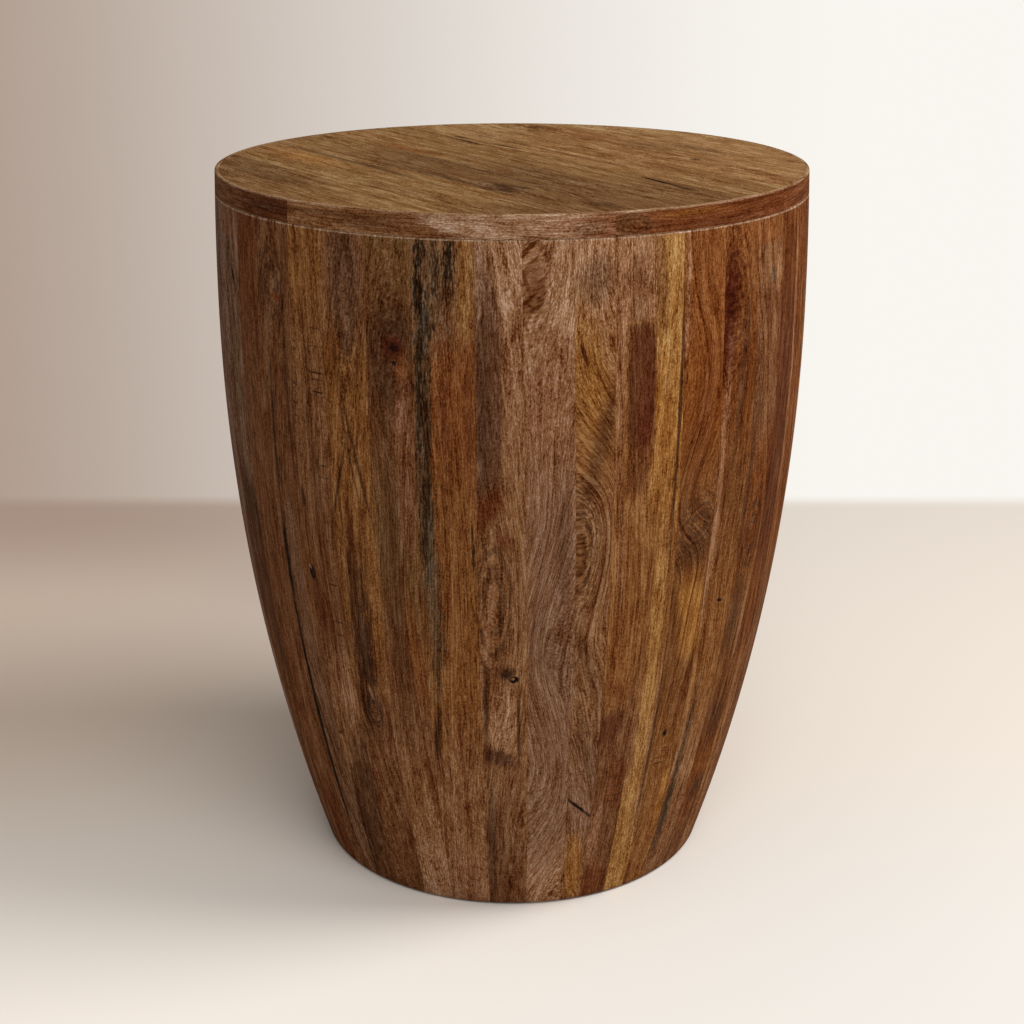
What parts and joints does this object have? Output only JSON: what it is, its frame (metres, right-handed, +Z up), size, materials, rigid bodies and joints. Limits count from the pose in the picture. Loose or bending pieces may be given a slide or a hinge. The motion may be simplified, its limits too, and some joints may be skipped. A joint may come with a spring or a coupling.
{
  "type": "round end table",
  "caption": "Round end table: hollow, bellied drum of upright solid-wood staves that narrows to the foot, under a flush round top of glued boards with a rim of bent strips.",
  "frame": {"origin": "on the floor, on the drum's axis", "axes": "+Z up along the drum's axis, -Y towards the front as pictured"},
  "size_m": [0.458, 0.458, 0.559],
  "materials": {
    "stave_wood": "satin",
    "top_wood": "satin",
    "strip_wood": "satin",
    "block_wood": "raw",
    "glide_plastic": "matte"
  },
  "bodies": {
    "root": {"stave_01": "stave_wood", "stave_02": "stave_wood", "stave_03": "stave_wood", "stave_04": "stave_wood", "stave_05": "stave_wood", "stave_06": "stave_wood", "stave_07": "stave_wood", "stave_08": "stave_wood", "stave_09": "stave_wood", "stave_10": "stave_wood", "stave_11": "stave_wood", "stave_12": "stave_wood", "stave_13": "stave_wood", "stave_14": "stave_wood", "stave_15": "stave_wood", "stave_16": "stave_wood", "stave_17": "stave_wood", "stave_18": "stave_wood", "stave_19": "stave_wood", "stave_20": "stave_wood", "stave_21": "stave_wood", "stave_22": "stave_wood", "stave_23": "stave_wood", "stave_24": "stave_wood", "stave_25": "stave_wood", "stave_26": "stave_wood", "stave_27": "stave_wood", "stave_28": "stave_wood", "stave_29": "stave_wood", "stave_30": "stave_wood", "stave_31": "stave_wood", "stave_32": "stave_wood", "stave_33": "stave_wood", "stave_34": "stave_wood", "stave_35": "stave_wood", "stave_36": "stave_wood", "stave_37": "stave_wood", "stave_38": "stave_wood", "stave_39": "stave_wood", "stave_40": "stave_wood", "stave_41": "stave_wood", "stave_42": "stave_wood", "top_board_1": "top_wood", "top_board_2": "top_wood", "top_board_3": "top_wood", "top_board_4": "top_wood", "top_board_5": "top_wood", "top_board_6": "top_wood", "top_board_7": "top_wood", "top_board_8": "top_wood", "rim_strip_1": "strip_wood", "rim_strip_2": "strip_wood", "rim_strip_3": "strip_wood", "rim_strip_4": "strip_wood", "rim_strip_5": "strip_wood", "corner_blocks": "block_wood", "floor_glides": "glide_plastic"}
  },
  "joints": []
}
